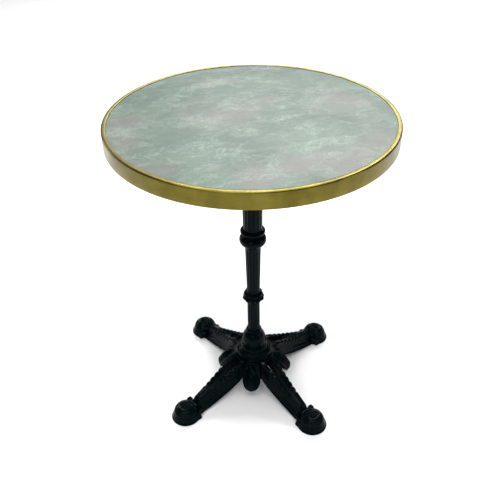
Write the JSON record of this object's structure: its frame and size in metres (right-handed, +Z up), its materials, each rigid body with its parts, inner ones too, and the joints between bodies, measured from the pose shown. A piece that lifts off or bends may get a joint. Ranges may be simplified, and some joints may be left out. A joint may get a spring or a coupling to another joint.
{
  "type": "bistro table",
  "caption": "Round bistro table: stone-look laminate top with a brass edge band on a fluted cast-iron column and a splayed base with lobes and domed feet.",
  "frame": {"origin": "on the floor, under the column's axis", "axes": "+Z up along the column; the legs run along the diagonals of X and Y, the lobes between them along +X, +Y, -X and -Y"},
  "size_m": [0.6, 0.6, 0.74],
  "materials": {
    "black_iron": "satin-gloss black enamel on cast iron",
    "brass": "satin, lightly brushed along the rim",
    "laminate": "satin high-pressure laminate with a cloudy stone pattern",
    "chipboard": "raw chipboard",
    "black_backing": "matt black balancing sheet",
    "zinc_steel": "bright zinc plated",
    "nylon": "moulded black nylon"
  },
  "bodies": {
    "table": {"base_casting": "black_iron", "column_bell": "black_iron", "lower_shaft": "black_iron", "ornament_ring": "black_iron", "tapered_shaft": "black_iron", "double_collar": "black_iron", "upper_shaft": "black_iron", "top_plate": "black_iron", "edge_band": "brass", "edge_band_joiner": "brass", "laminate_top": "laminate", "tabletop_core": "chipboard", "backing_sheet": "black_backing", "tie_rod": "zinc_steel", "bottom_washer": "zinc_steel", "bottom_nut": "zinc_steel", "top_washer": "zinc_steel", "top_nut": "zinc_steel", "top_plate_screw_1": "zinc_steel", "top_plate_screw_2": "zinc_steel", "top_plate_screw_3": "zinc_steel", "top_plate_screw_4": "zinc_steel", "top_plate_screw_5": "zinc_steel", "top_plate_screw_6": "zinc_steel", "top_plate_screw_7": "zinc_steel", "top_plate_screw_8": "zinc_steel", "edge_band_screw_1": "zinc_steel", "edge_band_screw_2": "zinc_steel", "edge_band_screw_3": "zinc_steel", "edge_band_screw_4": "zinc_steel", "edge_band_screw_5": "zinc_steel", "edge_band_screw_6": "zinc_steel", "glide_bush_1": "zinc_steel", "glide_bush_2": "zinc_steel", "glide_bush_3": "zinc_steel", "glide_bush_4": "zinc_steel"},
    "pad_1": {"glide_pad_1": "nylon"},
    "stem_1": {"glide_stem_1": "zinc_steel"},
    "pad_2": {"glide_pad_2": "nylon"},
    "stem_2": {"glide_stem_2": "zinc_steel"},
    "pad_3": {"glide_pad_3": "nylon"},
    "stem_3": {"glide_stem_3": "zinc_steel"},
    "pad_4": {"glide_pad_4": "nylon"},
    "stem_4": {"glide_stem_4": "zinc_steel"}
  },
  "joints": [
    {"name": "glide_1_drop", "type": "slide", "parent": "table", "child": "pad_1", "axis": [0, 0, -1], "range_m": [0, 0.01]},
    {"name": "glide_1_screw", "type": "hinge", "parent": "pad_1", "child": "stem_1", "pos_m": [0.15677, 0.15677, 0.02], "axis": [0, 0, -1], "range_deg": [0, 2870]},
    {"name": "glide_2_drop", "type": "slide", "parent": "table", "child": "pad_2", "axis": [0, 0, -1], "range_m": [0, 0.01]},
    {"name": "glide_2_screw", "type": "hinge", "parent": "pad_2", "child": "stem_2", "pos_m": [-0.15677, 0.15677, 0.02], "axis": [0, 0, -1], "range_deg": [0, 2870]},
    {"name": "glide_3_drop", "type": "slide", "parent": "table", "child": "pad_3", "axis": [0, 0, -1], "range_m": [0, 0.01]},
    {"name": "glide_3_screw", "type": "hinge", "parent": "pad_3", "child": "stem_3", "pos_m": [-0.15677, -0.15677, 0.02], "axis": [0, 0, -1], "range_deg": [0, 2870]},
    {"name": "glide_4_drop", "type": "slide", "parent": "table", "child": "pad_4", "axis": [0, 0, -1], "range_m": [0, 0.01]},
    {"name": "glide_4_screw", "type": "hinge", "parent": "pad_4", "child": "stem_4", "pos_m": [0.15677, -0.15677, 0.02], "axis": [0, 0, -1], "range_deg": [0, 2870]}
  ],
  "couplings": [
    {"joint": "glide_1_drop", "follows": "glide_1_screw", "m_per_rad": 0.00019894},
    {"joint": "glide_2_drop", "follows": "glide_2_screw", "m_per_rad": 0.00019894},
    {"joint": "glide_3_drop", "follows": "glide_3_screw", "m_per_rad": 0.00019894},
    {"joint": "glide_4_drop", "follows": "glide_4_screw", "m_per_rad": 0.00019894}
  ]
}
